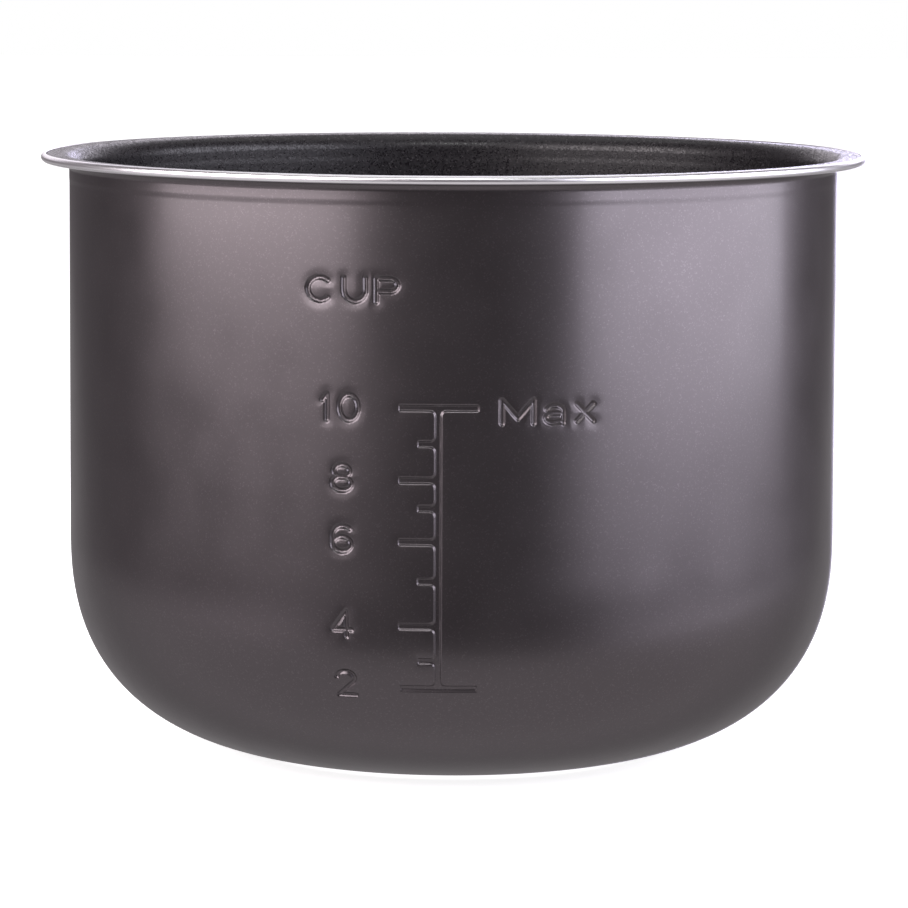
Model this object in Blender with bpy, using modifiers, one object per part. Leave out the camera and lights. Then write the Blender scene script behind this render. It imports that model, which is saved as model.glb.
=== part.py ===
"""Inner cooking pot of a rice cooker, modelled in its own frame.

The pot stands on the XY plane, +Z up, with its axis on Z and its measuring scale facing -Y.
It is one deep-drawn aluminium pressing that carries two coats: a non-stick lining inside, which
turns out over the rim flange, and a metallic paint outside. The rim's edge and the middle of the
base are bare metal. Each coat is modelled as its own thin layer, much thicker than the real one.
"""

import math

import bmesh
import bpy

MM = 0.001

# Driving dimensions, in millimetres
HEIGHT = 172.8
FLANGE_RADIUS = 118.7
WALL = 2.0
WALL_TOP_RADIUS = 110.6
WALL_LOW_RADIUS = 110.8
FLANGE_FILLET = 2.6
NECK_BULGE = 0.12
NECK_TOP = 166.2
NECK_BOTTOM = 164.2

# The corner between wall and base is a quarter of a superellipse
CORNER_HEIGHT = 63.7
BASE_FLAT_RADIUS = 36.9
CORNER_POWER = 2.44
COAT_LOWER_ANGLE = 82.0
CORNER_SPANS = 6
BARE_BASE_ANGLES = (82.3, 86.0, 90.0)

# Layers, from the outside in
COAT = 0.15
GAP = 0.1
FLANGE_BARE_EDGE = 1.4
CORE_OVERLAP = 1.0

# Pressed marks: the tool's radius, how deep it goes, and where the scale stands
STROKE_RADIUS = 1.2
STROKE_DEPTH = 0.8
LONGEST_CHORD = 6.0
STEM_X = -3.5
LONG_TICK_X = -13.5
SHORT_TICK_X = -8.3
BAR_RIGHT_X = 6.4
CUP_HEIGHTS = {10: 110.6, 9: 100.9, 8: 91.1, 7: 83.5, 6: 74.4, 5: 63.8, 4: 51.4, 3: 41.8, 2: 33.9}
FIGURE_CENTRES = {10: 110.4, 8: 91.4, 6: 74.9, 4: 51.7, 2: 34.8}
FIGURE_HEIGHT = 7.6
FIGURE_WIDTH = 5.2
FIGURE_CENTRE_X = -29.9
LETTER_HEIGHT = 6.2
CAPITAL_CENTRE_Z = 142.0
MAX_LOWER_Z = 106.5

SEGMENTS = 64
MERGE_DISTANCE = 0.00001

NODES = "rice_cooker_pot"
CUTTERS = "cutters"


def clear_scene():
    for item in list(bpy.data.objects):
        bpy.data.objects.remove(item, do_unlink=True)


def new_collection(name):
    made = bpy.data.collections.new(name)
    bpy.context.scene.collection.children.link(made)
    return made


def corner_point(angle, depth=0.0):
    """Point of the corner whose outward normal is `angle` degrees below horizontal, sunk by depth."""
    across = WALL_LOW_RADIUS - BASE_FLAT_RADIUS
    if angle >= 90.0:
        return BASE_FLAT_RADIUS, depth
    slope = math.tan(math.radians(angle)) * CORNER_HEIGHT / across
    ratio = slope ** (1.0 / (CORNER_POWER - 1.0))
    share = (1.0 + ratio**CORNER_POWER) ** (-1.0 / CORNER_POWER)
    radius = BASE_FLAT_RADIUS + across * share
    height = CORNER_HEIGHT * (1.0 - ratio * share)
    turn = math.radians(angle)
    return radius - depth * math.cos(turn), height + depth * math.sin(turn)


def coated_corner(depth):
    """The corner from the wall down to the coat's lower edge. Every layer shares these angles."""
    return [corner_point(COAT_LOWER_ANGLE * i / CORNER_SPANS, depth) for i in range(CORNER_SPANS + 1)]


def flange_fillet(depth):
    """Quarter circle from the flange down to the neck."""
    centre_radius = WALL_TOP_RADIUS + NECK_BULGE + FLANGE_FILLET
    centre_height = HEIGHT - WALL - FLANGE_FILLET
    radius = FLANGE_FILLET + depth
    points = []
    for angle in (90.0, 45.0, 0.0):
        turn = math.radians(angle)
        points.append((centre_radius - radius * math.cos(turn), centre_height + radius * math.sin(turn)))
    return points


def skin(depth, flange_end):
    """The pot's outside sunk by depth, from the flange at radius flange_end to the coat's lower edge."""
    points = [(flange_end, HEIGHT - WALL + depth)]
    points += flange_fillet(depth)
    points.append((WALL_TOP_RADIUS + NECK_BULGE - depth, NECK_TOP))
    points.append((WALL_TOP_RADIUS - depth, NECK_BOTTOM))
    return points + coated_corner(depth)


def turned(name, profile, collection, closed=False):
    """A solid of revolution about Z from a profile of (radius, height) points in millimetres."""
    mesh = bpy.data.meshes.new(name)
    count = len(profile)
    edges = [(i, i + 1) for i in range(count - 1)]
    if closed:
        edges.append((count - 1, 0))
    mesh.from_pydata([(r * MM, 0.0, z * MM) for r, z in profile], edges, [])
    item = bpy.data.objects.new(name, mesh)
    collection.objects.link(item)
    screw = item.modifiers.new("turn", "SCREW")
    screw.axis = "Z"
    screw.angle = math.tau
    screw.steps = SEGMENTS
    screw.render_steps = SEGMENTS
    screw.use_merge_vertices = True
    screw.merge_threshold = MERGE_DISTANCE
    screw.use_smooth_shade = True
    return item


def hide_cutter(item):
    item.hide_render = True
    item.display_type = "WIRE"


# Pressed marks. Each stroke is a list of (x along the wall, height) points in millimetres.


def ellipse(centre, half_width, half_height, start, end, count):
    """Points on an ellipse; angles in degrees, counted anticlockwise from the right."""
    points = []
    for i in range(count + 1):
        turn = math.radians(start + (end - start) * i / count)
        points.append((centre[0] + half_width * math.cos(turn), centre[1] + half_height * math.sin(turn)))
    return points


def loop(centre, half_width, half_height, count=8):
    return ellipse(centre, half_width, half_height, 90.0, 450.0, count)


def glyph_strokes(glyph, w, h):
    """Strokes of one sign in a box w wide and h high, with its lower left corner at (0, 0)."""
    middle = w / 2
    if glyph == "C":
        return [ellipse((middle, h / 2), middle, h / 2, 48.0, 312.0, 6)]
    if glyph == "U":
        return [[(0, h)] + ellipse((middle, middle), middle, middle, 180.0, 360.0, 5) + [(w, h)]]
    if glyph == "P":
        bowl = ellipse((w * 0.62, h * 0.72), w * 0.38, h * 0.28, 90.0, -90.0, 5)
        return [[(0, h), (0, 0)], [(0, h)] + bowl + [(0, h * 0.44)]]
    # in M and x the crossing strokes end a little apart, because mirrored ones would share faces
    if glyph == "M":
        left = [(w * 0.04, h * 0.95), (middle, h * 0.22)]
        right = [(middle, h * 0.26), (w * 0.97, h * 0.96)]
        return [[(0, 0), (0, h)], left, right, [(w, h), (w, 0)]]
    if glyph == "a":
        stem = ellipse((middle, h * 0.64), middle, h * 0.36, 155.0, 0.0, 5) + [(w, 0)]
        bowl = ellipse((w * 0.42, h * 0.28), w * 0.42, h * 0.28, 90.0, 270.0, 5)
        return [stem, [(w, h * 0.56)] + bowl + [(w * 0.98, h * 0.1)]]
    if glyph == "x":
        return [[(0, 0), (w, h)], [(w * 0.03, h), (w * 1.01, h * 0.04)]]
    if glyph == "1":
        return [[(0, h * 0.76), (w, h)], [(w, h), (w, 0)]]
    if glyph == "0":
        return [loop((middle, h / 2), middle, h / 2)]
    if glyph == "8":
        return [loop((middle, h * 0.76), w * 0.42, h * 0.24), loop((middle, h * 0.27), middle, h * 0.27)]
    if glyph == "6":
        top = ellipse((w * 0.55, h * 0.62), w * 0.55, h * 0.38, 48.0, 180.0, 5)
        return [top + [(0, h * 0.3)], loop((middle, h * 0.29), middle, h * 0.29)]
    if glyph == "4":
        return [[(w * 0.72, h), (0, h * 0.27)], [(0, h * 0.27), (w, h * 0.27)], [(w * 0.72, h), (w * 0.72, 0)]]
    if glyph == "2":
        top = ellipse((middle, h * 0.72), middle, h * 0.28, 165.0, -35.0, 6)
        return [top + [(0, 0)], [(0, 0), (w, 0)]]
    raise ValueError(glyph)


def placed(glyph, w, h, left, bottom):
    return [[(x + left, y + bottom) for x, y in stroke] for stroke in glyph_strokes(glyph, w, h)]


def word_strokes():
    strokes = []
    bottom = CAPITAL_CENTRE_Z - LETTER_HEIGHT / 2
    for glyph, left, width in (("C", -39.6, 6.8), ("U", -29.4, 6.0), ("P", -20.5, 5.8)):
        strokes += placed(glyph, width, LETTER_HEIGHT, left, bottom)
    strokes += placed("M", 8.6, LETTER_HEIGHT, 13.4, MAX_LOWER_Z)
    strokes += placed("a", 4.9, 5.0, 25.3, MAX_LOWER_Z)
    strokes += placed("x", 5.0, 5.0, 34.0, MAX_LOWER_Z)
    return strokes


def figure_strokes():
    """The even cup figures, each beside its tick."""
    strokes = []
    left = FIGURE_CENTRE_X - FIGURE_WIDTH / 2
    for cups in (8, 6, 4, 2):
        bottom = FIGURE_CENTRES[cups] - FIGURE_HEIGHT / 2
        strokes += placed(str(cups), FIGURE_WIDTH, FIGURE_HEIGHT, left, bottom)
    bottom = FIGURE_CENTRES[10] - FIGURE_HEIGHT / 2
    strokes += placed("1", 1.3, FIGURE_HEIGHT, -35.4, bottom)
    strokes += placed("0", 5.2, FIGURE_HEIGHT, -30.6, bottom)
    return strokes


def scale_strokes():
    """A stem with a bar at either end, and a tick for each cup between them."""
    top, foot = CUP_HEIGHTS[10], CUP_HEIGHTS[2]
    strokes = [[(STEM_X, top), (STEM_X, foot)]]
    for z in (top, foot):
        strokes.append([(LONG_TICK_X, z), (BAR_RIGHT_X, z)])
    for cups in range(3, 10):
        end = SHORT_TICK_X if cups % 2 else LONG_TICK_X
        strokes.append([(end, CUP_HEIGHTS[cups]), (STEM_X, CUP_HEIGHTS[cups])])
    return strokes


def surface_point(x, z, lift):
    """A point over the wall or corner, at arc length x from the front and raised by lift."""
    if z >= CORNER_HEIGHT:
        share = (z - CORNER_HEIGHT) / (NECK_BOTTOM - CORNER_HEIGHT)
        radius = WALL_LOW_RADIUS + share * (WALL_TOP_RADIUS - WALL_LOW_RADIUS)
        tilt = 0.0
    else:
        low, high = 0.0, 90.0
        for _ in range(40):
            tilt = (low + high) / 2
            radius, height = corner_point(tilt)
            low, high = (tilt, high) if height > z else (low, tilt)
    turn = x / WALL_TOP_RADIUS
    out = radius + lift * math.cos(math.radians(tilt))
    z_up = z - lift * math.sin(math.radians(tilt))
    return out * math.sin(turn) * MM, -out * math.cos(turn) * MM, z_up * MM


def refined(stroke):
    """The stroke with its long spans divided, so that it follows the round wall."""
    points = [stroke[0]]
    for (x0, z0), (x1, z1) in zip(stroke, stroke[1:]):
        across = abs(x1 - x0)
        down_corner = max(0.0, min(z0, CORNER_HEIGHT) - min(z1, CORNER_HEIGHT))
        steps = max(1, math.ceil(across / LONGEST_CHORD), math.ceil(down_corner / LONGEST_CHORD))
        if down_corner > 0.0 and z0 > CORNER_HEIGHT:
            points.append((x0, CORNER_HEIGHT))
            z0 = CORNER_HEIGHT
        points += [(x0 + (x1 - x0) * i / steps, z0 + (z1 - z0) * i / steps) for i in range(1, steps + 1)]
    return points


def beyond(end, inner, distance):
    """The stroke's end moved away from its neighbour by distance."""
    span = math.dist(end, inner)
    return tuple(e + (e - i) * distance / span for e, i in zip(end, inner))


def stroke_cutter(name, stroke, grow, collection):
    """A capped or endless tube along a stroke; `grow` is added to the tool's radius and its ends."""
    endless = math.dist(stroke[0], stroke[-1]) < MERGE_DISTANCE
    points = refined(stroke)
    if endless:
        points = points[:-1]
    else:
        points[0] = beyond(points[0], points[1], grow)
        points[-1] = beyond(points[-1], points[-2], grow)
    curve = bpy.data.curves.new(name, "CURVE")
    curve.dimensions = "3D"
    curve.bevel_depth = (STROKE_RADIUS + grow) * MM
    curve.bevel_resolution = 1
    curve.use_fill_caps = True
    spline = curve.splines.new("POLY")
    spline.points.add(len(points) - 1)
    spline.use_cyclic_u = endless
    for control, (x, z) in zip(spline.points, points):
        control.co = (*surface_point(x, z, STROKE_RADIUS - STROKE_DEPTH), 1.0)
    guide = bpy.data.objects.new(name, curve)
    collection.objects.link(guide)
    bpy.context.view_layer.update()
    evaluated = guide.evaluated_get(bpy.context.evaluated_depsgraph_get())
    mesh = bpy.data.meshes.new_from_object(evaluated)
    weld(mesh)
    cutter = bpy.data.objects.new(name, mesh)
    cutter.matrix_world = guide.matrix_world
    bpy.data.objects.remove(guide)
    collection.objects.link(cutter)
    hide_cutter(cutter)
    return cutter


def weld(mesh):
    work = bmesh.new()
    work.from_mesh(mesh)
    bmesh.ops.remove_doubles(work, verts=work.verts, dist=MERGE_DISTANCE)
    bmesh.ops.recalc_face_normals(work, faces=work.faces)
    work.to_mesh(mesh)
    work.free()


def groove_cutters(label, grow, parent):
    """All the pressed strokes as cutters, each one wider and deeper by `grow`."""
    group = bpy.data.collections.new(label)
    parent.children.link(group)
    strokes = word_strokes() + figure_strokes() + scale_strokes()
    for number, stroke in enumerate(strokes):
        stroke_cutter(f"{label}_{number:02d}", stroke, grow, group)
    return group


def subtract(item, cutter=None, group=None):
    cut = item.modifiers.new("cut", "BOOLEAN")
    cut.operation = "DIFFERENCE"
    cut.solver = "EXACT"
    if group is None:
        cut.object = cutter
    else:
        cut.operand_type = "COLLECTION"
        cut.collection = group
    return cut


def material(name, colour, roughness, metallic):
    made = bpy.data.materials.new(name)
    made.use_nodes = True
    shader = made.node_tree.nodes["Principled BSDF"]
    shader.inputs["Base Color"].default_value = (*colour, 1.0)
    shader.inputs["Roughness"].default_value = roughness
    shader.inputs["Metallic"].default_value = metallic
    made.diffuse_color = (*colour, 1.0)
    return made


def run_past(points):
    """The outline with its last span made longer, so that a cutter runs past what it cuts."""
    return points[:-1] + [beyond(points[-1], points[-2], CORE_OVERLAP)]


def exterior_coating(nodes, cutters, grooves, grooves_in_core):
    """The paint outside: flange underside, neck, wall and corner, following each pressed mark.
    It is a thick grooved ring less its core, and the core's grooves are larger by the coat."""
    end = FLANGE_RADIUS - FLANGE_BARE_EDGE
    ring_depth = WALL - COAT
    core_face = run_past(skin(COAT, end + CORE_OVERLAP))
    core_back = run_past(skin(WALL, end + CORE_OVERLAP))
    core = turned("coating_core", core_face + core_back[::-1], cutters, closed=True)
    subtract(core, group=grooves_in_core)
    hide_cutter(core)
    ring = skin(0.0, end) + skin(ring_depth, end)[::-1]
    coat = turned("exterior_coating", ring, nodes, closed=True)
    subtract(coat, group=grooves)
    subtract(coat, cutter=core)
    coat.data.materials.append(material("metallic_paint", (0.12, 0.105, 0.115), 0.38, 0.6))
    return coat


def rim_bead():
    """The flange's bare edge: full thickness, with a round nose, from its top to its underside."""
    start = FLANGE_RADIUS - FLANGE_BARE_EDGE + GAP
    nose = WALL / 2
    points = [(start, HEIGHT)]
    for angle in (90.0, 45.0, 0.0, -45.0, -90.0):
        turn = math.radians(angle)
        points.append((FLANGE_RADIUS - nose + nose * math.cos(turn), HEIGHT - nose + nose * math.sin(turn)))
    points.append((start, HEIGHT - WALL))
    return points


def drawn_aluminium_shell(nodes, grooves_in_shell):
    """The pressing itself, with its bare rim edge and its bare base."""
    sunk = COAT + GAP
    bead = FLANGE_RADIUS - FLANGE_BARE_EDGE + GAP
    floor = [(0.0, WALL - sunk), corner_point(90.0, WALL - sunk)]
    inside = skin(WALL - sunk, bead)
    base = [corner_point(BARE_BASE_ANGLES[0], sunk)]
    base += [corner_point(angle) for angle in BARE_BASE_ANGLES]
    base.append((0.0, 0.0))
    # the underside of the flange and the wall meet the bead and the base in a step as deep as the coat
    profile = floor + inside[::-1] + rim_bead() + skin(sunk, bead) + base
    shell = turned("drawn_aluminium_shell", profile, nodes)
    subtract(shell, group=grooves_in_shell)
    shell.data.materials.append(material("bare_aluminium", (0.80, 0.80, 0.82), 0.22, 1.0))
    return shell


def interior_nonstick_lining(nodes):
    """The dark non-stick coat: flange top, lip, wall and floor."""
    end = FLANGE_RADIUS - FLANGE_BARE_EDGE
    face = skin(WALL, end) + [corner_point(90.0, WALL), (0.0, WALL)]
    back = skin(WALL - COAT, end) + [corner_point(90.0, WALL - COAT), (0.0, WALL - COAT)]
    lining = turned("interior_nonstick_lining", face[::-1] + back, nodes)
    lining.data.materials.append(material("dark_nonstick", (0.030, 0.028, 0.032), 0.42, 0.0))
    return lining


def build():
    clear_scene()
    nodes = new_collection(NODES)
    cutters = new_collection(CUTTERS)
    grooves = groove_cutters("grooves", 0.0, cutters)
    grooves_in_core = groove_cutters("grooves_in_core", COAT, cutters)
    grooves_in_shell = groove_cutters("grooves_in_shell", COAT + GAP, cutters)
    drawn_aluminium_shell(nodes, grooves_in_shell)
    exterior_coating(nodes, cutters, grooves, grooves_in_core)
    interior_nonstick_lining(nodes)


build()
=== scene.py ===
"""Looks of the rice cooker's inner pot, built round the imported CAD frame.

Lengths in the shape functions are millimetres; meshes are made in metres. The pot's outside is
described by its profile, which runs from the flange's edge down to the coat's lower edge, and by how
deep the pressed marks are at each place. The same two descriptions give every layer of the wall.
"""

import math

import bmesh
import bpy
import numpy as np
from mathutils import Matrix, Vector


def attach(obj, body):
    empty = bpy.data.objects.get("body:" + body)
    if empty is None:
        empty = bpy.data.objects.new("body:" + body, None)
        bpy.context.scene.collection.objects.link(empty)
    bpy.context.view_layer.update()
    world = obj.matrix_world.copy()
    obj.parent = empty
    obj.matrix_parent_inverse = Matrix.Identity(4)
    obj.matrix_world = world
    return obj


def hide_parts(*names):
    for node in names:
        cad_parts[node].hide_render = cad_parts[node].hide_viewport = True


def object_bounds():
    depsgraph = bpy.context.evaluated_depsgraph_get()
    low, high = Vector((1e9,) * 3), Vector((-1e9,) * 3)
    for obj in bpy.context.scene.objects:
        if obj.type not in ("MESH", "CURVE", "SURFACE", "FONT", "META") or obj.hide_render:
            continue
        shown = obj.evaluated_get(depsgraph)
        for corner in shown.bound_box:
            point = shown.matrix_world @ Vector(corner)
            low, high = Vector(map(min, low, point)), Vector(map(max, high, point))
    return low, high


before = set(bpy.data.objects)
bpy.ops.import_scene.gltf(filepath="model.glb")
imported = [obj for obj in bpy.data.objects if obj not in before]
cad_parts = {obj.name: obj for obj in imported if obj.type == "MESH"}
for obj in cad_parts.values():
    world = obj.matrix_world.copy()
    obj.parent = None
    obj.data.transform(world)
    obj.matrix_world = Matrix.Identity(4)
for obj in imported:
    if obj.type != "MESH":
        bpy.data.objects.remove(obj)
cad_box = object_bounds()

MM = 0.001

# Driving dimensions of the pot. They are the CAD's, except that the step under the neck is softer
# and the flange's bare edge is rolled a little thicker than the sheet.
HEIGHT = cad_box[1].z / MM
FLANGE_RADIUS = cad_box[1].x / MM
WALL = 2.0
WALL_TOP_RADIUS = 110.6
WALL_LOW_RADIUS = 110.8
FLANGE_FILLET = 2.6
NECK_BULGE = 0.07
NECK_TOP = 166.2
NECK_BOTTOM = 164.2
CORNER_HEIGHT = 63.7
BASE_FLAT_RADIUS = 36.9
CORNER_POWER = 2.44
COAT_LOWER_ANGLE = 82.0
FLANGE_BARE_EDGE = 1.4
BEAD_RADIUS = 1.2

# Thin layers of the wall
COAT = 0.1
GAP = 0.03

# Pressed marks: the scale has a flat floor and firm shoulders, the signs are softer. Floor and edge are
# distances from a stroke's centre line, where the full depth ends and where the groove ends.
SCALE_FLOOR = 0.5
SCALE_EDGE = 1.1
SCALE_DEPTH = 0.5
SIGN_FLOOR = 0.15
SIGN_EDGE = 0.95
SIGN_DEPTH = 0.55
JUNCTION_FILLET = 1.6
SQUARENESS = 5.0
SKIRT_DEPTH = 0.1
SKIRT_WIDTH = 1.4
RIDGE_SHARE = 0.7

# No mark is further round the pot than the reach, and beyond it every point counts as far from them
MARKS_REACH = 60.0
FAR_FROM_MARKS = 100.0

# Places of the marks: x is round the pot from the middle of its front, z is the height
STEM_X = -3.7
LONG_TICK_X = -13.5
SHORT_TICK_X = -8.3
BAR_RIGHT_X = 6.4
CUP_HEIGHTS = {10: 110.6, 9: 100.9, 8: 91.1, 7: 83.5, 6: 74.4, 5: 63.8, 4: 51.4, 3: 41.8, 2: 33.9}
FIGURE_CENTRES = {10: 110.4, 8: 91.4, 6: 74.9, 4: 51.7, 2: 34.8}
FIGURE_HEIGHT = 6.9
FIGURE_WIDTH = 5.2
FIGURE_CENTRE_X = -29.9
LETTER_HEIGHT = 6.2
CAPITAL_CENTRE_Z = 142.0
MAX_LOWER_Z = 106.5

# The signs' widths and left ends; the letters of Max also have a height and a lift
TEN = (("1", 1.3, -35.4), ("0", 5.2, -30.6))
CAPITALS = (("C", 6.8, -39.6), ("U", 6.0, -29.4), ("P", 5.8, -20.5))
MAX_LETTERS = (
    ("M", 8.6, 13.4, LETTER_HEIGHT, 0.0),
    ("a", 4.9, 25.3, 4.6, 0.0),
    ("x", 4.6, 34.0, 4.6, 0.3),
)

# Mesh fineness
COLUMNS = 256
SHARP_ANGLE = 35.0
WALL_ROW = 2.8
FINE_ROW = 0.4
REFINE_WITHIN = (6.0, 3.4, 1.9)
PROFILE_STEPS = 60
CORNER_STEPS = 300
BEAD_STEPS = 31

# Rings of the bare base, by the corner's angle and then by share of the flat's radius, and the rings of
# the lining's floor
BASE_ANGLES = (82.6, 84.0, 86.0, 88.0, 90.0)
BASE_SHARES = (0.8, 0.6, 0.4, 0.2, 0.05)
LINING_FLOOR_SHARES = (1.0, 0.6, 0.2)

# A plain layer steps back behind the marks: by how much, and where that starts and is complete
BEHIND_MARKS = 0.75
BEHIND_FROM = 7.0
BEHIND_FULLY = 4.0


# ---------------------------------------------------------------- profile


def corner_point(angle):
    """Point of the corner whose outward normal is `angle` degrees below horizontal."""
    across = WALL_LOW_RADIUS - BASE_FLAT_RADIUS
    if angle >= 90.0:
        return BASE_FLAT_RADIUS, 0.0
    slope = math.tan(math.radians(angle)) * CORNER_HEIGHT / across
    ratio = slope ** (1.0 / (CORNER_POWER - 1.0))
    share = (1.0 + ratio**CORNER_POWER) ** (-1.0 / CORNER_POWER)
    return BASE_FLAT_RADIUS + across * share, CORNER_HEIGHT * (1.0 - ratio * share)


def smooth(t):
    """From 0 to 1 with level ends."""
    t = np.clip(t, 0.0, 1.0)
    return t * t * (3.0 - 2.0 * t)


class Profile:
    """The pot's outside from the flange's bare edge down to the coat's lower edge."""

    def __init__(self):
        underside = HEIGHT - WALL
        centre = (WALL_TOP_RADIUS + NECK_BULGE + FLANGE_FILLET, underside - FLANGE_FILLET)
        points = [(FLANGE_RADIUS - FLANGE_BARE_EDGE, underside)]
        points.append(((points[0][0] + centre[0]) / 2, underside))
        for turn in np.radians(np.linspace(90.0, 0.0, PROFILE_STEPS)):
            radius = centre[0] - FLANGE_FILLET * math.cos(turn)
            points.append((radius, centre[1] + FLANGE_FILLET * math.sin(turn)))
        for z in np.linspace(NECK_TOP, NECK_BOTTOM, PROFILE_STEPS):
            bulge = NECK_BULGE * smooth((z - NECK_BOTTOM) / (NECK_TOP - NECK_BOTTOM))
            points.append((WALL_TOP_RADIUS + bulge, z))
        for z in np.linspace(NECK_BOTTOM, CORNER_HEIGHT, PROFILE_STEPS)[1:-1]:
            share = (z - CORNER_HEIGHT) / (NECK_BOTTOM - CORNER_HEIGHT)
            points.append((WALL_LOW_RADIUS + share * (WALL_TOP_RADIUS - WALL_LOW_RADIUS), z))
        points += [corner_point(angle) for angle in np.linspace(0.0, COAT_LOWER_ANGLE, CORNER_STEPS)]
        self.r, self.z = np.array(points).T
        steps = np.hypot(np.diff(self.r), np.diff(self.z))
        self.s = np.concatenate([[0.0], np.cumsum(steps)])
        along_r = np.gradient(self.r, self.s)
        along_z = np.gradient(self.z, self.s)
        length = np.hypot(along_r, along_z)
        self.along_r, self.along_z = along_r / length, along_z / length

    def down_at(self, z):
        """Distance along the profile at a height on the neck, wall or corner, below the flange's flat."""
        return np.interp(-np.asarray(z), -self.z[2:], self.s[2:])

    def at(self, s):
        """Radius, height and the downward tangent at distances along the profile."""
        values = [np.interp(s, self.s, v) for v in (self.r, self.z, self.along_r, self.along_z)]
        length = np.hypot(values[2], values[3])
        return values[0], values[1], values[2] / length, values[3] / length

    def rows(self):
        """Distances along the profile of the mesh's rows, close together where it bends."""
        stops = [(self.down_at(HEIGHT - WALL - FLANGE_FILLET), FINE_ROW)]
        stops.append((self.down_at(NECK_TOP), 4 * FINE_ROW))
        stops.append((self.down_at(NECK_BOTTOM), FINE_ROW))
        stops.append((self.s[-1], WALL_ROW))
        rows = [0.0]
        for stop, spacing in stops:
            count = max(1, math.ceil((stop - rows[-1]) / spacing))
            rows += list(np.linspace(rows[-1], stop, count + 1)[1:])
        return rows


PROFILE = Profile()


# ---------------------------------------------------------------- pressed marks


def ellipse(centre, half_width, half_height, start, end, count=16):
    """Points on an ellipse; angles in degrees, counted anticlockwise from the right."""
    turns = np.radians(np.linspace(start, end, count + 1))
    x, y = centre
    return [(x + half_width * math.cos(t), y + half_height * math.sin(t)) for t in turns]


def loop(centre, half_width, half_height):
    return ellipse(centre, half_width, half_height, 90.0, 450.0, 28)


def glyph_strokes(glyph, w, h):
    """Strokes of one sign in a box w wide and h high, with its lower left corner at (0, 0)."""
    middle = w / 2
    if glyph == "C":
        return [ellipse((middle, h / 2), middle, h / 2, 48.0, 312.0)]
    if glyph == "U":
        return [[(0, h)] + ellipse((middle, middle), middle, middle, 180.0, 360.0) + [(w, h)]]
    if glyph == "P":
        bowl = ellipse((w * 0.62, h * 0.72), w * 0.38, h * 0.28, 90.0, -90.0)
        return [[(0, h), (0, 0)], [(0, h)] + bowl + [(0, h * 0.44)]]
    if glyph == "M":
        return [[(0, 0), (0, h)], [(0, h), (middle, h * 0.22), (w, h)], [(w, h), (w, 0)]]
    if glyph == "a":
        stem = ellipse((middle, h * 0.64), middle, h * 0.36, 155.0, 0.0) + [(w, 0)]
        bowl = ellipse((w * 0.42, h * 0.28), w * 0.42, h * 0.28, 90.0, 270.0)
        return [stem, [(w, h * 0.56)] + bowl + [(w, h * 0.1)]]
    if glyph == "x":
        return [[(0, 0), (w, h)], [(0, h), (w, 0)]]
    if glyph == "1":
        return [[(0, h * 0.76), (w, h)], [(w, h), (w, 0)]]
    if glyph == "0":
        return [loop((middle, h / 2), middle, h / 2)]
    if glyph == "8":
        upper = loop((middle, h * 0.76), w * 0.42, h * 0.24)
        return [upper, loop((middle, h * 0.27), middle, h * 0.27)]
    if glyph == "6":
        top = ellipse((w * 0.55, h * 0.62), w * 0.55, h * 0.38, 48.0, 180.0)
        return [top + [(0, h * 0.3)], loop((middle, h * 0.29), middle, h * 0.29)]
    if glyph == "4":
        return [[(w * 0.72, h), (0, h * 0.27), (w, h * 0.27)], [(w * 0.72, h), (w * 0.72, 0)]]
    if glyph == "2":
        top = ellipse((middle, h * 0.72), middle, h * 0.28, 165.0, -35.0)
        return [top + [(0, 0), (w, 0)]]
    raise ValueError(glyph)


def placed(glyph, w, h, left, bottom):
    """Strokes of a sign, moved to its place on the wall."""
    return [[(x + left, y + bottom) for x, y in stroke] for stroke in glyph_strokes(glyph, w, h)]


def sign_strokes():
    """The words and the even cup figures, each figure beside its tick."""
    strokes = []
    for glyph, width, left in CAPITALS:
        strokes += placed(glyph, width, LETTER_HEIGHT, left, CAPITAL_CENTRE_Z - LETTER_HEIGHT / 2)
    for glyph, width, left, height, lift in MAX_LETTERS:
        strokes += placed(glyph, width, height, left, MAX_LOWER_Z + lift)
    for cups, centre in FIGURE_CENTRES.items():
        one_digit = ((str(cups), FIGURE_WIDTH, FIGURE_CENTRE_X - FIGURE_WIDTH / 2),)
        for glyph, width, left in TEN if cups == 10 else one_digit:
            strokes += placed(glyph, width, FIGURE_HEIGHT, left, centre - FIGURE_HEIGHT / 2)
    return strokes


def scale_strokes():
    """A stem between two bars, with a tick for each cup. Fillets close the gaps where lines meet."""
    top, foot = CUP_HEIGHTS[10], CUP_HEIGHTS[2]
    strokes = [[(STEM_X, top - JUNCTION_FILLET), (STEM_X, foot + JUNCTION_FILLET)]]
    for z in (top, foot):
        strokes.append([(LONG_TICK_X, z), (BAR_RIGHT_X, z)])
    for cups in range(3, 10):
        end = SHORT_TICK_X if cups % 2 else LONG_TICK_X
        strokes.append([(end, CUP_HEIGHTS[cups]), (STEM_X - JUNCTION_FILLET, CUP_HEIGHTS[cups])])
    return strokes


def flattened(stroke):
    """The stroke in the wall's own two lengths: round it, and down the profile."""
    x, z = np.array(stroke, float).T
    return np.stack([x, PROFILE.down_at(z)], axis=1)


def distance_to_stroke(points, stroke):
    """Distance of each point to a stroke's centre line."""
    best = np.full(len(points), np.inf)
    for a, b in zip(stroke, stroke[1:]):
        span = b - a
        share = np.clip((points - a) @ span / max(span @ span, 1e-12), 0.0, 1.0)
        gap = points - (a + share[:, None] * span)
        best = np.minimum(best, np.hypot(gap[:, 0], gap[:, 1]))
    return best


def distance_to_line(points, stroke):
    """Distance of each point to an upright or level line, measured so that the ends are square."""
    low, high = np.minimum(*stroke), np.maximum(*stroke)
    beyond = np.maximum(np.maximum(low - points, points - high), 0.0)
    return (beyond[:, 0] ** SQUARENESS + beyond[:, 1] ** SQUARENESS) ** (1.0 / SQUARENESS)


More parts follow.
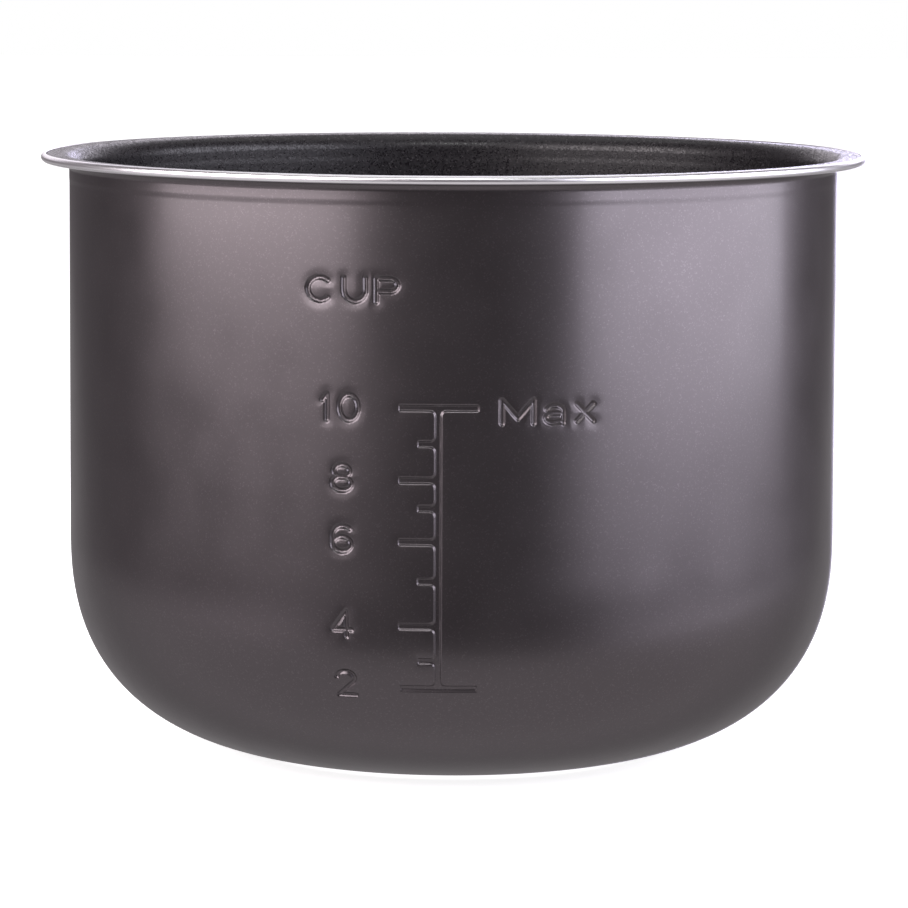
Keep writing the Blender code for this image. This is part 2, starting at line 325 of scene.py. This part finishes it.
def joined(a, b, fillet):
    """The smaller of two distances, with a fillet where they meet."""
    blend = np.maximum(fillet - np.abs(a - b), 0.0) / fillet
    return np.minimum(a, b) - blend * blend * fillet / 4


SIGNS = [flattened(stroke) for stroke in sign_strokes()]
SCALE = [flattened(stroke) for stroke in scale_strokes()]


def distances(points):
    """Distance to the nearest sign and to the nearest line of the scale."""
    far = np.full(len(points), FAR_FROM_MARKS)
    signs, scale = far.copy(), far.copy()
    near = np.abs(points[:, 0]) < MARKS_REACH
    some = points[near]
    sign, line = far[near], far[near]
    for stroke in SIGNS:
        sign = np.minimum(sign, distance_to_stroke(some, stroke))
    for stroke in SCALE:
        line = joined(line, distance_to_line(some, stroke), JUNCTION_FILLET)
    signs[near], scale[near] = sign, line
    return signs, scale


def pressed_depth(points):
    """How far the wall is pressed in, at (round, down) points."""
    signs, scale = distances(points)
    groove = SIGN_DEPTH * smooth((SIGN_EDGE - signs) / (SIGN_EDGE - SIGN_FLOOR))
    line = SCALE_DEPTH * smooth((SCALE_EDGE - scale) / (SCALE_EDGE - SCALE_FLOOR))
    skirt = np.exp(-((np.maximum(np.minimum(signs, scale) - SCALE_FLOOR, 0.0) / SKIRT_WIDTH) ** 2))
    return np.maximum(groove, line) + SKIRT_DEPTH * skirt


def slopes(points, field, step=0.04):
    """The field's rise for each millimetre round the pot and down the profile."""
    aside, down = np.array([step, 0.0]), np.array([0.0, step])
    rise_x = (field(points + aside) - field(points - aside)) / (2 * step)
    rise_s = (field(points + down) - field(points - down)) / (2 * step)
    return rise_x, rise_s


# ---------------------------------------------------------------- sheets and solids


class Sheet:
    """The wall laid out flat: points (round, down the profile) and the faces between them."""

    def __init__(self, refined):
        rows = PROFILE.rows()
        across = math.tau * WALL_TOP_RADIUS
        flat = bmesh.new()
        grid = []
        for s in rows:
            places = [(across * (i / COLUMNS - 0.5), -s, 0.0) for i in range(COLUMNS + 1)]
            grid.append([flat.verts.new(place) for place in places])
        for upper, lower in zip(grid, grid[1:]):
            for i in range(COLUMNS):
                flat.faces.new((upper[i], lower[i], lower[i + 1], upper[i + 1]))
        if refined:
            for within in REFINE_WITHIN:
                self.refine(flat, within)
        flat.verts.index_update()
        self.points = np.array([(v.co.x, -v.co.y) for v in flat.verts])
        index = self.close_seam(across)
        self.faces = [[index[v.index] for v in face.verts] for face in flat.faces]
        flat.free()
        self.top = self.row_at(rows[0], index)
        self.bottom = self.row_at(rows[-1], index)

    @staticmethod
    def refine(flat, within):
        """Divides the faces whose middle is close to a pressed mark."""
        flat.faces.ensure_lookup_table()
        centres = np.array([face.calc_center_median()[:2] for face in flat.faces]) * (1.0, -1.0)
        near = np.minimum(*distances(centres)) < within
        edges = {edge for face, chosen in zip(flat.faces, near) if chosen for edge in face.edges}
        edges = sorted(edges, key=lambda edge: edge.index)
        bmesh.ops.subdivide_edges(flat, edges=edges, cuts=1, use_grid_fill=True)

    def close_seam(self, across):
        """The last column's points become the first column's."""
        index = np.arange(len(self.points))
        seam = np.where(self.points[:, 0] > across / 2 - 1e-3)[0]
        start = np.where(self.points[:, 0] < 1e-3 - across / 2)[0]
        order_a = seam[np.argsort(self.points[seam, 1])]
        order_b = start[np.argsort(self.points[start, 1])]
        index[order_a] = order_b
        kept = np.setdiff1d(np.arange(len(self.points)), seam)
        renumbered = np.full(len(self.points), -1)
        renumbered[kept] = np.arange(len(kept))
        self.points = self.points[kept]
        return renumbered[index]

    def row_at(self, s, index):
        """The points of the row at a distance down the profile, in order round the pot."""
        found = np.where(np.abs(self.points[:, 1] - s) < 1e-4)[0]
        return list(found[np.argsort(self.points[found, 0])])


def laid_on_pot(points, depth):
    """Places of (round, down) points at a depth under the pot's outside, and the outward frame."""
    r, z, along_r, along_z = PROFILE.at(points[:, 1])
    turn = points[:, 0] / WALL_TOP_RADIUS
    out_r, out_z = -along_z, along_r
    radius = r - depth * out_r
    height = z - depth * out_z
    places = np.stack([radius * np.sin(turn), -radius * np.cos(turn), height], axis=1)
    outward = np.stack([out_r * np.sin(turn), -out_r * np.cos(turn), out_z], axis=1)
    aside = np.stack([np.cos(turn), np.sin(turn), np.zeros_like(turn)], axis=1)
    down = np.stack([along_r * np.sin(turn), -along_r * np.cos(turn), along_z], axis=1)
    return places, outward, aside, down


class Solid:
    """Collects the faces of one closed body."""

    def __init__(self):
        self.places = np.zeros((0, 3))
        self.faces = []
        self.given_normals = {}

    def add_sheet(self, sheet, depth_field, inward=False, exact=False):
        """A layer of the wall. `exact` gives it the true surface's normals."""
        depth = depth_field(sheet.points)
        places, outward, aside, down = laid_on_pot(sheet.points, depth)
        start = len(self.places)
        self.places = np.vstack([self.places, places])
        if exact:
            rise_x, rise_s = slopes(sheet.points, depth_field)
            normals = outward + rise_x[:, None] * aside + rise_s[:, None] * down
            normals /= np.linalg.norm(normals, axis=1)[:, None]
            normals = -normals if inward else normals
            faces = (len(self.faces), len(self.faces) + len(sheet.faces))
            self.given_normals[faces] = (start, normals)
        for face in sheet.faces:
            corners = [start + v for v in face]
            self.faces.append(corners[::-1] if inward else corners)
        return [start + v for v in sheet.top], [start + v for v in sheet.bottom]

    def ring(self, radius, height):
        """A ring of points at a radius and a height, one for each column."""
        turns = math.tau * (np.arange(COLUMNS) / COLUMNS - 0.5)
        start = len(self.places)
        level_ring = np.full(COLUMNS, height)
        circle = np.stack([radius * np.sin(turns), -radius * np.cos(turns), level_ring], axis=1)
        self.places = np.vstack([self.places, circle])
        return list(range(start, start + COLUMNS))

    def bridge(self, upper, lower):
        """Faces from one ring to the next one down the outside."""
        for i in range(COLUMNS):
            j = (i + 1) % COLUMNS
            self.faces.append([upper[i], lower[i], lower[j], upper[j]])

    def turned(self, first, points, last=None):
        """Faces through rings at the given (radius, height) points, starting at a ring."""
        ring = first
        for radius, height in points:
            following = self.ring(radius, height)
            self.bridge(ring, following)
            ring = following
        if last is not None:
            self.bridge(ring, last)
        return ring

    def pole(self, ring, height, upper=False):
        """Closes a ring with a fan to a point on the axis."""
        self.places = np.vstack([self.places, [(0.0, 0.0, height)]])
        tip = len(self.places) - 1
        for i in range(COLUMNS):
            j = (i + 1) % COLUMNS
            corners = [ring[i], tip, ring[j]]
            self.faces.append(corners[::-1] if upper else corners)

    def mesh_object(self, name):
        """The body as an object in the scene, with smooth shading between its sharp edges."""
        mesh = bpy.data.meshes.new(name)
        faces = [[int(v) for v in face] for face in self.faces]
        mesh.from_pydata((self.places * MM).tolist(), [], faces)
        mesh.validate()
        mesh.shade_smooth()
        mesh.set_sharp_from_angle(angle=math.radians(SHARP_ANGLE))
        self.give_normals(mesh)
        item = bpy.data.objects.new(name, mesh)
        bpy.context.scene.collection.objects.link(item)
        return item

    def give_normals(self, mesh):
        """Sets the true surface's normals on the layers that have them."""
        if not self.given_normals:
            return
        corner_normals = np.zeros(len(mesh.loops) * 3, np.float32)
        mesh.corner_normals.foreach_get("vector", corner_normals)
        corner_normals = corner_normals.reshape(-1, 3)
        corner_vertex = np.zeros(len(mesh.loops), np.int64)
        mesh.loops.foreach_get("vertex_index", corner_vertex)
        starts = np.zeros(len(mesh.polygons), np.int64)
        mesh.polygons.foreach_get("loop_start", starts)
        starts = np.append(starts, len(mesh.loops))
        for (first, past), (start, normals) in self.given_normals.items():
            corners = np.arange(starts[first], starts[past])
            corner_normals[corners] = normals[corner_vertex[corners] - start]
        mesh.normals_split_custom_set([tuple(n) for n in corner_normals.tolist()])


# ---------------------------------------------------------------- pieces


def behind_marks(points):
    """Extra depth that keeps a plain layer clear of the pressed marks in front of it."""
    gap = np.minimum(*distances(points))
    return BEHIND_MARKS * smooth((BEHIND_FROM - gap) / (BEHIND_FROM - BEHIND_FULLY))


def level(depth):
    """A layer at one depth all over."""
    return lambda points: np.full(len(points), depth)


def ridge(points):
    """The soft ridges that the marks leave inside the wall."""
    return RIDGE_SHARE * pressed_depth(points)


def outer_paint(fine, plain):
    """The metallic paint outside, with the pressed marks as real grooves."""
    solid = Solid()
    top, bottom = solid.add_sheet(fine, pressed_depth, exact=True)
    back_top, back_bottom = solid.add_sheet(plain, lambda p: COAT + behind_marks(p), inward=True)
    solid.bridge(back_top, top)
    solid.bridge(bottom, back_bottom)
    return solid.mesh_object("outer_metallic_paint")


def bead_profile():
    """The flange's rolled bare edge, from its underside round to its top."""
    start = FLANGE_RADIUS - FLANGE_BARE_EDGE + GAP
    points = [(start, HEIGHT - WALL)]
    for turn in np.radians(np.linspace(-90.0, 90.0, BEAD_STEPS)):
        radius = FLANGE_RADIUS - BEAD_RADIUS * (1.0 - math.cos(turn))
        points.append((radius, HEIGHT - WALL / 2 + BEAD_RADIUS * math.sin(turn)))
    return points + [(start, HEIGHT)]


def pressed_aluminium(plain):
    """The pressing: hidden behind the coats, bare at the rim's edge and under the base."""
    solid = Solid()
    top, bottom = solid.add_sheet(plain, lambda p: COAT + GAP + behind_marks(p))
    inner = WALL - COAT - GAP
    inner_top, inner_bottom = solid.add_sheet(plain, level(inner), inward=True)
    solid.turned(inner_top, bead_profile()[::-1], last=top)
    base = [corner_point(angle) for angle in BASE_ANGLES]
    base += [(BASE_FLAT_RADIUS * share, 0.0) for share in BASE_SHARES]
    rim = solid.turned(bottom, base)
    solid.pole(rim, 0.0)
    solid.pole(inner_bottom, inner, upper=True)
    return solid.mesh_object("pressed_aluminium_body")


def inner_lining(fine, plain):
    """The dark non-stick coat inside, over the lip and the flange's top."""
    solid = Solid()
    top, bottom = solid.add_sheet(fine, lambda p: WALL + ridge(p), inward=True, exact=True)
    back_top, back_bottom = solid.add_sheet(plain, level(WALL - COAT))
    solid.bridge(top, back_top)
    solid.pole(back_bottom, WALL - COAT)
    ring = bottom
    for share in LINING_FLOOR_SHARES:
        following = solid.ring(BASE_FLAT_RADIUS * share, WALL)
        solid.bridge(following, ring)
        ring = following
    solid.pole(ring, WALL, upper=True)
    return solid.mesh_object("inner_nonstick_lining")


# ---------------------------------------------------------------- materials


PAINT_COLOUR = (0.103, 0.093, 0.098)
MICA_COLOUR = (0.132, 0.12, 0.126)
LINING_COLOUR = (0.008, 0.007, 0.0085)
SPECK_COLOUR = (0.04, 0.037, 0.04)
METAL_DARK_COLOUR = (0.84, 0.84, 0.86)
METAL_LIGHT_COLOUR = (0.9, 0.9, 0.92)

# How fine the textures are, for each metre
MICA_SCALE = 3200.0
GRAIN_SCALE = 2500.0
TURNING_SCALE = 3000.0


class Shader:
    """A Principled material and the helpers that build its nodes."""

    def __init__(self, name, **values):
        self.material = bpy.data.materials.new(name)
        self.material.use_nodes = True
        self.tree = self.material.node_tree
        self.principled = self.tree.nodes["Principled BSDF"]
        for socket, value in values.items():
            self.principled.inputs[socket.replace("_", " ")].default_value = value

    def node(self, kind, **settings):
        made = self.tree.nodes.new(kind)
        for key, value in settings.items():
            setattr(made, key, value)
        return made

    def link(self, output, target):
        self.tree.links.new(output, target)

    def split(self, colour):
        """The red and green shares of a colour, as two values."""
        made = self.node("ShaderNodeSeparateColor")
        self.link(colour, made.inputs["Color"])
        return made.outputs["Red"], made.outputs["Green"]

    def drive(self, socket, output):
        """Links an output to one of the material's own values."""
        self.link(output, self.principled.inputs[socket])

    def coordinates(self):
        return self.node("ShaderNodeTexCoord").outputs["Object"]

    def noise(self, scale, detail=2.0, roughness=0.5):
        made = self.node("ShaderNodeTexNoise")
        made.inputs["Scale"].default_value = scale
        made.inputs["Detail"].default_value = detail
        made.inputs["Roughness"].default_value = roughness
        self.link(self.coordinates(), made.inputs["Vector"])
        return made.outputs["Fac"]

    def flakes(self, scale):
        """A random colour for each small cell; the scale is in cells a metre."""
        made = self.node("ShaderNodeTexVoronoi")
        made.inputs["Scale"].default_value = scale
        self.link(self.coordinates(), made.inputs["Vector"])
        return made.outputs["Color"]

    def ranged(self, value, low, high, to_low, to_high):
        made = self.node("ShaderNodeMapRange")
        made.inputs["From Min"].default_value = low
        made.inputs["From Max"].default_value = high
        made.inputs["To Min"].default_value = to_low
        made.inputs["To Max"].default_value = to_high
        self.link(value, made.inputs["Value"])
        return made.outputs["Result"]

    def mixed(self, factor, first, second):
        made = self.node("ShaderNodeMix", data_type="RGBA")
        made.inputs["A"].default_value = (*first, 1.0)
        made.inputs["B"].default_value = (*second, 1.0)
        self.link(factor, made.inputs["Factor"])
        return made.outputs["Result"]

    def bump(self, height, strength, distance):
        made = self.node("ShaderNodeBump")
        made.inputs["Strength"].default_value = strength
        made.inputs["Distance"].default_value = distance
        self.link(height, made.inputs["Height"])
        self.drive("Normal", made.outputs["Normal"])


def metallic_paint():
    """Dark warm grey with fine mica: small flakes catch the light, under a satin surface."""
    shader = Shader("metallic_paint", Metallic=0.96, Coat_Weight=0.12, Coat_Roughness=0.12)
    chance, _ = shader.split(shader.flakes(MICA_SCALE))
    sparkle = shader.ranged(chance, 0.86, 1.0, 0.0, 1.0)
    shader.drive("Base Color", shader.mixed(sparkle, PAINT_COLOUR, MICA_COLOUR))
    shader.drive("Roughness", shader.ranged(shader.noise(60.0, 3.0), 0.3, 0.7, 0.28, 0.33))
    shader.bump(shader.noise(1500.0, 2.0), 0.12, 0.00004)
    return shader.material


def dark_nonstick():
    """Near-black coat: each grain has a gloss of its own, and a few are paler."""
    shader = Shader("dark_nonstick", Metallic=0.0, Specular_IOR_Level=0.4)
    chance, gloss = shader.split(shader.flakes(GRAIN_SCALE))
    speck = shader.ranged(chance, 0.93, 0.97, 0.0, 1.0)
    shader.drive("Base Color", shader.mixed(speck, LINING_COLOUR, SPECK_COLOUR))
    shader.drive("Roughness", shader.ranged(gloss, 0.0, 1.0, 0.18, 0.62))
    shader.bump(shader.noise(1200.0, 3.0), 0.45, 0.0001)
    return shader.material


def bare_aluminium():
    """Polished metal with fine turning lines round the axis."""
    shader = Shader("bare_aluminium", Metallic=1.0)
    flat = shader.node("ShaderNodeVectorMath", operation="MULTIPLY")
    flat.inputs[1].default_value = (1.0, 1.0, 0.0)
    shader.link(shader.coordinates(), flat.inputs[0])
    radius = shader.node("ShaderNodeVectorMath", operation="LENGTH")
    shader.link(flat.outputs["Vector"], radius.inputs[0])
    noise = shader.node("ShaderNodeTexNoise", noise_dimensions="1D")
    noise.inputs["Scale"].default_value = TURNING_SCALE
    noise.inputs["Detail"].default_value = 2.0
    shader.link(radius.outputs["Value"], noise.inputs["W"])
    lines = noise.outputs["Fac"]
    shader.drive("Roughness", shader.ranged(lines, 0.3, 0.7, 0.27, 0.33))
    shader.drive("Base Color", shader.mixed(lines, METAL_DARK_COLOUR, METAL_LIGHT_COLOUR))
    shader.bump(lines, 0.08, 0.00002)
    return shader.material


# ---------------------------------------------------------------- studio


# Studio: lengths in metres, angles in degrees, powers in watts, the lens in millimetres
CAMERA_DISTANCE = 1.338
CAMERA_ASIDE = 0.00055
CAMERA_HEIGHT = 0.24474
CAMERA_PITCH = 6.80
CAMERA_ROLL = 0.25
CAMERA_LENS = 183.5
FLOOR_SIZE = 12.0
FLOOR_GLOW = 0.8
FLOOR_GLOW_FROM = 0.16
FLOOR_GLOW_TO = 0.6

# What the pot reflects besides the lights, by the direction of the reflected ray. Each pair holds the
# values of the direction's x, y or z between which a zone fades in or out. The floor shows below a
# height that rises towards the back. Above it the room is dim, with light sides below the horizon and
# a light backdrop above it. A bright patch straight behind, right of the middle, gives the wall's right
# edge its thin light line.
ROOM_COLOUR = (0.15, 0.133, 0.143)
FLOOR_COLOUR = (0.68, 0.64, 0.66)
SHADED_FLOOR_COLOUR = (0.36, 0.34, 0.35)
SHADED_FROM = (0.25, 0.6)
LEFT_COLOUR = (0.98, 0.89, 0.94)
RIGHT_COLOUR = (2.3, 2.2, 2.45)
RIGHT_FROM = (-0.9, 0.1)
LEFT_BACKDROP_COLOUR = (1.35, 1.25, 1.35)
RIGHT_BACKDROP_COLOUR = (2.4, 2.27, 2.53)
BACKDROP_SIDES = (-0.25, 0.35)
FLOOR_RISE = 0.28
FLOOR_EDGE = (-0.355, -0.335)
SIDE_EDGE = (0.45, 0.75)
SIDE_DEPTH = (-0.34, -0.12)
BACKDROP_FROM = (0.75, 0.9)
BACKDROP_HEIGHT = (0.07, 0.14)
RIM_GLOW_COLOUR = (4.2, 3.95, 5.2)
RIM_GLOW_FROM = (0.955, 0.98)
RIM_GLOW_SIDE = (0.0, 0.06)


def camera():
    """Looks along +Y at the pot's front, from a little above the rim."""
    data = bpy.data.cameras.new("camera")
    data.lens = CAMERA_LENS
    item = bpy.data.objects.new("camera", data)
    tilt = Matrix.Rotation(math.radians(90.0 - CAMERA_PITCH), 4, "X")
    roll = Matrix.Rotation(math.radians(CAMERA_ROLL), 4, "Z")
    place = Matrix.Translation((CAMERA_ASIDE, -CAMERA_DISTANCE, CAMERA_HEIGHT))
    item.matrix_world = place @ tilt @ roll
    bpy.context.scene.collection.objects.link(item)
    bpy.context.scene.camera = item


def softbox(name, azimuth, distance, height, size, power, colour=(1.0, 1.0, 1.0), aim=None):
    """A rectangular light that faces the pot's axis. Azimuth 0 is the camera's side, 90 is +X."""
    data = bpy.data.lights.new(name, "AREA")
    data.shape = "RECTANGLE"
    data.size, data.size_y = size
    data.energy = power
    data.color = colour
    item = bpy.data.objects.new(name, data)
    turn = math.radians(azimuth)
    place = Vector((distance * math.sin(turn), -distance * math.cos(turn), height))
    item.location = place
    item.rotation_mode = "QUATERNION"
    aim = height if aim is None else aim
    item.rotation_quaternion = (Vector((0.0, 0.0, aim)) - place).to_track_quat("-Z", "Y")
    item.visible_camera = False
    bpy.context.scene.collection.objects.link(item)


def floor():
    """A pale floor. Away from the pot it glows up to plain white, so that it has no horizon."""
    bpy.ops.mesh.primitive_plane_add(size=FLOOR_SIZE)
    item = bpy.context.active_object
    item.name = "studio_floor"
    white = (1.0, 1.0, 1.0, 1.0)
    shader = Shader("studio_floor", Roughness=0.9, Specular_IOR_Level=0.0, Emission_Color=white)
    shader.drive("Base Color", shader.mixed(shader.noise(3.0), (0.88, 0.88, 0.88), (0.9, 0.9, 0.9)))
    away = shader.node("ShaderNodeVectorMath", operation="LENGTH")
    shader.link(shader.coordinates(), away.inputs[0])
    glow = shader.ranged(away.outputs["Value"], FLOOR_GLOW_FROM, FLOOR_GLOW_TO, FLOOR_GLOW, 1.0)
    shader.drive("Emission Strength", glow)
    item.data.materials.append(shader.material)
    item.visible_glossy = False


class World:
    """The node tree of the surroundings, as a stack of colours chosen by the ray's direction."""

    def __init__(self):
        world = bpy.data.worlds.new("studio")
        bpy.context.scene.world = world
        world.use_nodes = True
        self.tree = world.node_tree
        place = self.tree.nodes.new("ShaderNodeTexCoord")
        split = self.tree.nodes.new("ShaderNodeSeparateXYZ")
        self.tree.links.new(place.outputs["Generated"], split.inputs["Vector"])
        self.x, self.y, self.z = (split.outputs[axis] for axis in "XYZ")

    def math(self, operation, first, second):
        made = self.tree.nodes.new("ShaderNodeMath")
        made.operation = operation
        for socket, value in zip(made.inputs, (first, second)):
            if isinstance(value, float):
                socket.default_value = value
            else:
                self.tree.links.new(value, socket)
        return made.outputs["Value"]

    def rise(self, value, low, high):
        """From 0 at low to 1 at high."""
        made = self.tree.nodes.new("ShaderNodeMapRange")
        made.inputs["From Min"].default_value = low
        made.inputs["From Max"].default_value = high
        self.tree.links.new(value, made.inputs["Value"])
        return made.outputs["Result"]

    def over(self, share, below, above):
        """Mixes the colour above into the one below by a share."""
        made = self.tree.nodes.new("ShaderNodeMix")
        made.data_type = "RGBA"
        for socket, colour in (("A", below), ("B", above)):
            if isinstance(colour, tuple):
                made.inputs[socket].default_value = (*colour, 1.0)
            else:
                self.tree.links.new(colour, made.inputs[socket])
        self.tree.links.new(share, made.inputs["Factor"])
        return made.outputs["Result"]

    def seen(self, reflected):
        """Plain white to the camera, and the given colour to everything else."""
        dim = self.tree.nodes.new("ShaderNodeBackground")
        self.tree.links.new(reflected, dim.inputs["Color"])
        white = self.tree.nodes["Background"]
        white.inputs["Color"].default_value = (1.0, 1.0, 1.0, 1.0)
        path = self.tree.nodes.new("ShaderNodeLightPath")
        mix = self.tree.nodes.new("ShaderNodeMixShader")
        self.tree.links.new(path.outputs["Is Camera Ray"], mix.inputs["Fac"])
        self.tree.links.new(dim.outputs["Background"], mix.inputs[1])
        self.tree.links.new(white.outputs["Background"], mix.inputs[2])
        self.tree.links.new(mix.outputs["Shader"], self.tree.nodes["World Output"].inputs["Surface"])


def surroundings():
    """Builds the world's colours, zone by zone."""
    world = World()
    low = world.math("SUBTRACT", 1.0, world.rise(world.z, *SIDE_DEPTH))
    left = world.rise(world.math("MULTIPLY", world.x, -1.0), *SIDE_EDGE)
    right = world.math("MULTIPLY", world.rise(world.x, *SIDE_EDGE), world.rise(world.y, *RIGHT_FROM))
    colour = world.over(world.math("MULTIPLY", left, low), ROOM_COLOUR, LEFT_COLOUR)
    colour = world.over(world.math("MULTIPLY", right, low), colour, RIGHT_COLOUR)
    above = world.rise(world.z, *BACKDROP_HEIGHT)
    behind = world.math("MULTIPLY", world.rise(world.y, *BACKDROP_FROM), above)
    aside = world.rise(world.x, *BACKDROP_SIDES)
    backdrop = world.over(aside, LEFT_BACKDROP_COLOUR, RIGHT_BACKDROP_COLOUR)
    colour = world.over(behind, colour, backdrop)
    lifted = world.math("SUBTRACT", world.z, world.math("MULTIPLY", world.y, FLOOR_RISE))
    floor_share = world.math("SUBTRACT", 1.0, world.rise(lifted, *FLOOR_EDGE))
    shaded = world.rise(world.y, *SHADED_FROM)
    floor_colour = world.over(shaded, FLOOR_COLOUR, SHADED_FLOOR_COLOUR)
    colour = world.over(floor_share, colour, floor_colour)
    far_right = world.rise(world.x, *RIM_GLOW_SIDE)
    glow = world.math("MULTIPLY", world.rise(world.y, *RIM_GLOW_FROM), far_right)
    world.seen(world.over(glow, colour, RIM_GLOW_COLOUR))


def studio():
    """The camera, the floor, the surroundings and the four lights."""
    bpy.context.scene.view_settings.view_transform = "Standard"
    camera()
    floor()
    surroundings()
    softbox("left_softbox", -58.0, 0.7, 0.42, (0.86, 0.6), 9.2, (1.0, 0.92, 0.95))
    softbox("right_softbox", 73.0, 0.9, 0.42, (1.36, 0.8), 15.6, (0.91, 0.89, 1.0))
    softbox("top_light", 180.0, 0.3, 1.3, (1.2, 1.2), 4.0, aim=0.08)
    softbox("front_top_light", 0.0, 0.9, 1.0, (0.6, 0.3), 3.0, aim=0.05)


def build():
    fine, plain = Sheet(refined=True), Sheet(refined=False)
    pieces = (
        (outer_paint(fine, plain), metallic_paint(), "exterior_coating", "metallic_paint"),
        (pressed_aluminium(plain), bare_aluminium(), "drawn_aluminium_shell", "bare_aluminium"),
        (inner_lining(fine, plain), dark_nonstick(), "interior_nonstick_lining", "dark_nonstick"),
    )
    for piece, material, node, slot in pieces:
        piece.data.materials.append(material)
        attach(piece, "root")
        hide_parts(node)


build()
studio()
